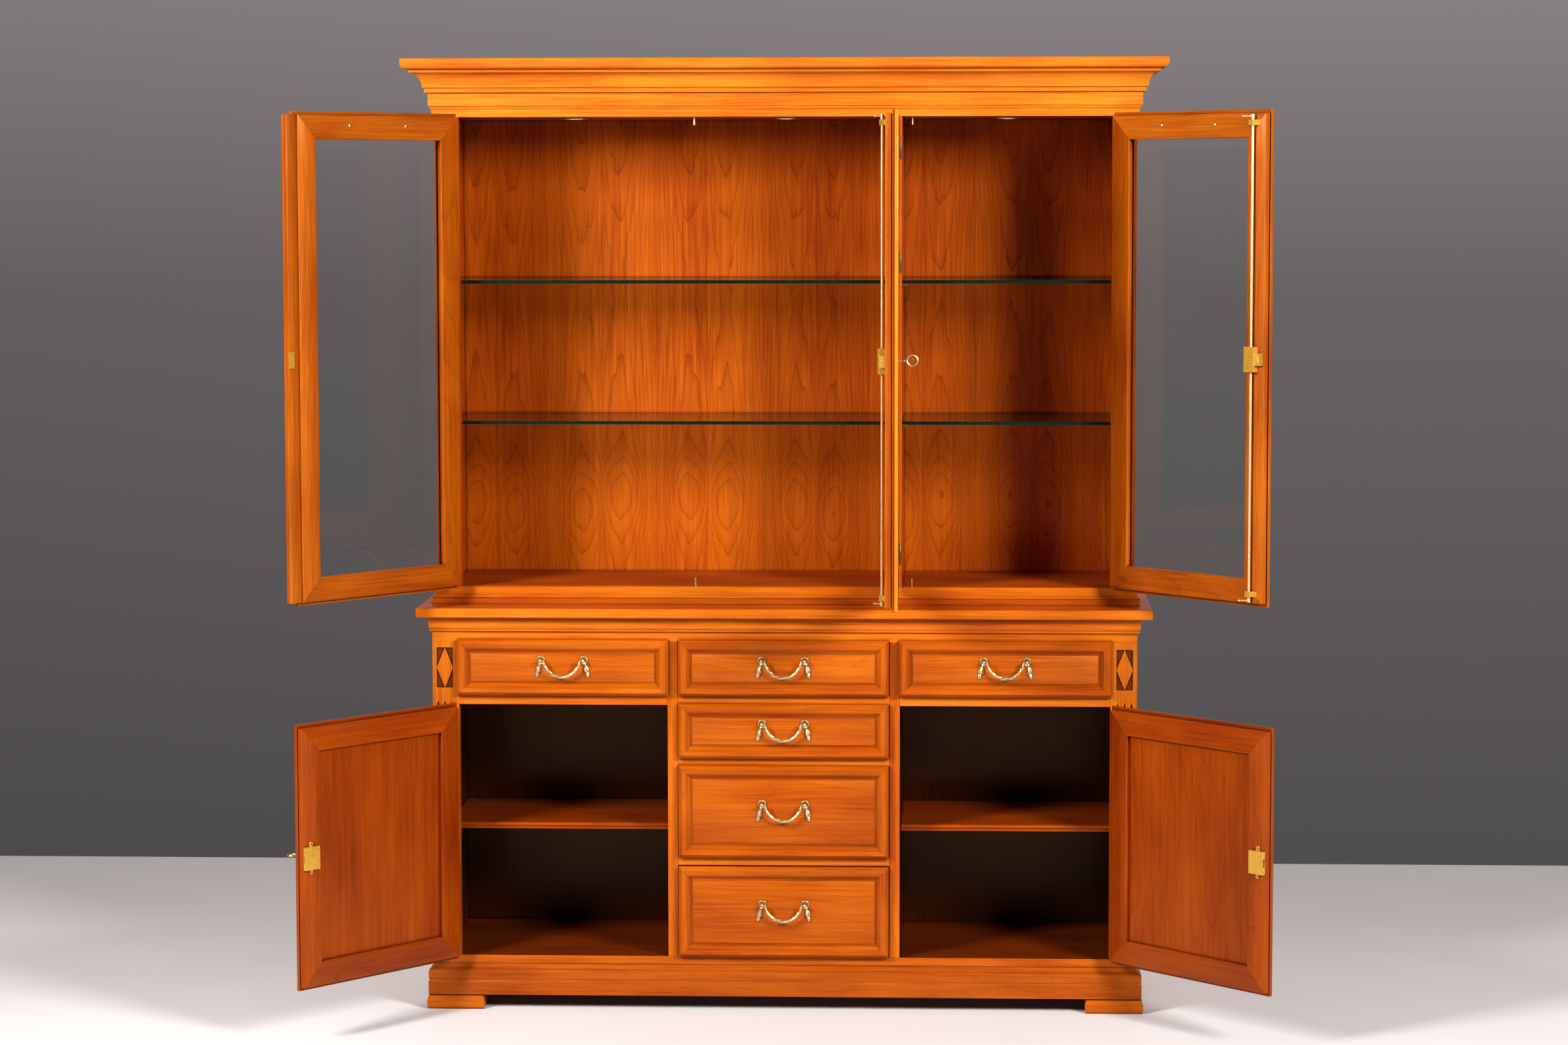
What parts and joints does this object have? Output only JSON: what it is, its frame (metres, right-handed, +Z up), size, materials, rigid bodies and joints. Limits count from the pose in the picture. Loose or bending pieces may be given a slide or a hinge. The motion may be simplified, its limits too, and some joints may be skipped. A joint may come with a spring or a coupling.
{
  "type": "china cabinet with glass doors",
  "caption": "Two-piece china cabinet: buffet base with drawers and cupboards, glazed doors above, deep moulded cornice and swag handles.",
  "frame": {"origin": "on the floor, at the middle of the width, in the plane of the base cabinet's front frame", "axes": "+Z up, the front faces -Y, +X to the right when seen from the front"},
  "size_m": [2.1208, 0.8915, 2.13],
  "materials": {
    "cherry": "satin lacquer over stained cherry",
    "veneer": "satin veneer, book-matched leaves",
    "pale_wood": "plain sanded hardwood",
    "brass": "lacquered brass",
    "glass": "clear, polished edges",
    "lamp": "matte white ring"
  },
  "bodies": {
    "cabinet": {"feet": "cherry", "plinth": "cherry", "base_floor": "cherry", "base_sides": "cherry", "base_partitions": "cherry", "back_panels": "veneer", "face_rails": "cherry", "pilasters": "cherry", "cupboard_shelves": "cherry", "drawer_runners": "pale_wood", "counter_moulding": "cherry", "counter": "cherry", "upper_plinth": "cherry", "upper_boards": "cherry", "corner_posts": "cherry", "upper_sides": "cherry", "divider": "cherry", "cornice": "cherry", "glass_shelves": "glass", "pins": "brass", "spotlights": "lamp", "hinges": "brass"},
    "upper_left_door": {"lu_frame": "cherry", "lu_glass": "glass", "lu_strike": "brass"},
    "upper_middle_door": {"c_frame": "cherry", "c_glass": "glass", "c_lock": "brass"},
    "middle_door_rods": {"c_rods": "brass"},
    "middle_door_key": {"c_key": "brass"},
    "upper_right_door": {"ru_frame": "cherry", "ru_glass": "glass", "ru_lock": "brass"},
    "right_door_rods": {"ru_rods": "brass"},
    "lower_left_door": {"ll_frame": "cherry", "ll_panel": "cherry", "ll_lock": "brass"},
    "lower_left_bolt": {"ll_bolt": "brass"},
    "lower_left_key": {"ll_key": "brass"},
    "lower_right_door": {"rl_frame": "cherry", "rl_panel": "cherry", "rl_lock": "brass"},
    "top_left_drawer": {"drawer_1": "cherry", "posts_1": "brass"},
    "top_left_bail": {"bail_1": "brass"},
    "top_middle_drawer": {"drawer_2": "cherry", "posts_2": "brass"},
    "top_middle_bail": {"bail_2": "brass"},
    "top_right_drawer": {"drawer_3": "cherry", "posts_3": "brass"},
    "top_right_bail": {"bail_3": "brass"},
    "second_drawer": {"drawer_4": "cherry", "posts_4": "brass"},
    "second_bail": {"bail_4": "brass"},
    "third_drawer": {"drawer_5": "cherry", "posts_5": "brass"},
    "third_bail": {"bail_5": "brass"},
    "bottom_drawer": {"drawer_6": "cherry", "posts_6": "brass"},
    "bottom_bail": {"bail_6": "brass"}
  },
  "joints": [
    {"name": "upper_left_door_hinge", "type": "hinge", "parent": "cabinet", "child": "upper_left_door", "pos_m": [-0.7395, 0.0518, 1.475], "axis": [0, 0, 1], "range_deg": [0, 127.9]},
    {"name": "upper_middle_door_hinge", "type": "hinge", "parent": "cabinet", "child": "upper_middle_door", "pos_m": [0.2592, 0.0518, 1.475], "axis": [0, 0, -1], "range_deg": [0, 90.5]},
    {"name": "upper_right_door_hinge", "type": "hinge", "parent": "cabinet", "child": "upper_right_door", "pos_m": [0.7395, 0.0518, 1.475], "axis": [0, 0, -1], "range_deg": [0, 132.4]},
    {"name": "lower_left_door_hinge", "type": "hinge", "parent": "cabinet", "child": "lower_left_door", "pos_m": [-0.7395, -0.0155, 0.408], "axis": [0, 0, 1], "range_deg": [0, 128.6]},
    {"name": "lower_right_door_hinge", "type": "hinge", "parent": "cabinet", "child": "lower_right_door", "pos_m": [0.7395, -0.0155, 0.408], "axis": [0, 0, -1], "range_deg": [0, 133]},
    {"name": "middle_door_rods_turn", "type": "hinge", "parent": "upper_middle_door", "child": "middle_door_rods", "pos_m": [0.2266, -0.3952, 1.475], "axis": [0, 0, 1], "range_deg": [0, 90]},
    {"name": "middle_door_key_turn", "type": "hinge", "parent": "upper_middle_door", "child": "middle_door_key", "pos_m": [0.26316, -0.40188, 1.48], "axis": [1, 0.0087, 0], "range_deg": [0, 90]},
    {"name": "right_door_rods_turn", "type": "hinge", "parent": "upper_right_door", "child": "right_door_rods", "pos_m": [1.00958, -0.2981, 1.475], "axis": [0, 0, 1], "range_deg": [0, 90]},
    {"name": "lower_left_key_turn", "type": "hinge", "parent": "lower_left_door", "child": "lower_left_key", "pos_m": [-1.02461, -0.37266, 0.408], "axis": [-0.7815, 0.6239, 0], "range_deg": [0, 90]},
    {"name": "lower_left_bolt_slide", "type": "slide", "parent": "lower_left_door", "child": "lower_left_bolt", "axis": [-0.6239, -0.7815, 0], "range_m": [0, 0.008]},
    {"name": "top_left_drawer_slide", "type": "slide", "parent": "cabinet", "child": "top_left_drawer", "axis": [0, -1, 0], "range_m": [0, 0.28]},
    {"name": "top_left_bail_swing", "type": "hinge", "parent": "top_left_drawer", "child": "top_left_bail", "pos_m": [-0.49425, -0.026, 0.79245], "axis": [-1, 0, 0], "range_deg": [0, 85]},
    {"name": "top_middle_drawer_slide", "type": "slide", "parent": "cabinet", "child": "top_middle_drawer", "axis": [0, -1, 0], "range_m": [0, 0.28]},
    {"name": "top_middle_bail_swing", "type": "hinge", "parent": "top_middle_drawer", "child": "top_middle_bail", "pos_m": [0, -0.026, 0.79245], "axis": [-1, 0, 0], "range_deg": [0, 85]},
    {"name": "top_right_drawer_slide", "type": "slide", "parent": "cabinet", "child": "top_right_drawer", "axis": [0, -1, 0], "range_m": [0, 0.28]},
    {"name": "top_right_bail_swing", "type": "hinge", "parent": "top_right_drawer", "child": "top_right_bail", "pos_m": [0.49425, -0.026, 0.79245], "axis": [-1, 0, 0], "range_deg": [0, 85]},
    {"name": "second_drawer_slide", "type": "slide", "parent": "cabinet", "child": "second_drawer", "axis": [0, -1, 0], "range_m": [0, 0.28]},
    {"name": "second_bail_swing", "type": "hinge", "parent": "second_drawer", "child": "second_bail", "pos_m": [0, -0.026, 0.651], "axis": [-1, 0, 0], "range_deg": [0, 85]},
    {"name": "third_drawer_slide", "type": "slide", "parent": "cabinet", "child": "third_drawer", "axis": [0, -1, 0], "range_m": [0, 0.28]},
    {"name": "third_bail_swing", "type": "hinge", "parent": "third_drawer", "child": "third_bail", "pos_m": [0, -0.026, 0.46965], "axis": [-1, 0, 0], "range_deg": [0, 85]},
    {"name": "bottom_drawer_slide", "type": "slide", "parent": "cabinet", "child": "bottom_drawer", "axis": [0, -1, 0], "range_m": [0, 0.28]},
    {"name": "bottom_bail_swing", "type": "hinge", "parent": "bottom_drawer", "child": "bottom_bail", "pos_m": [0, -0.026, 0.2429], "axis": [-1, 0, 0], "range_deg": [0, 85]}
  ],
  "couplings": [
    {"joint": "middle_door_key_turn", "follows": "middle_door_rods_turn", "ratio": 1},
    {"joint": "lower_left_key_turn", "follows": "lower_left_bolt_slide", "rad_per_m": 196.3}
  ]
}
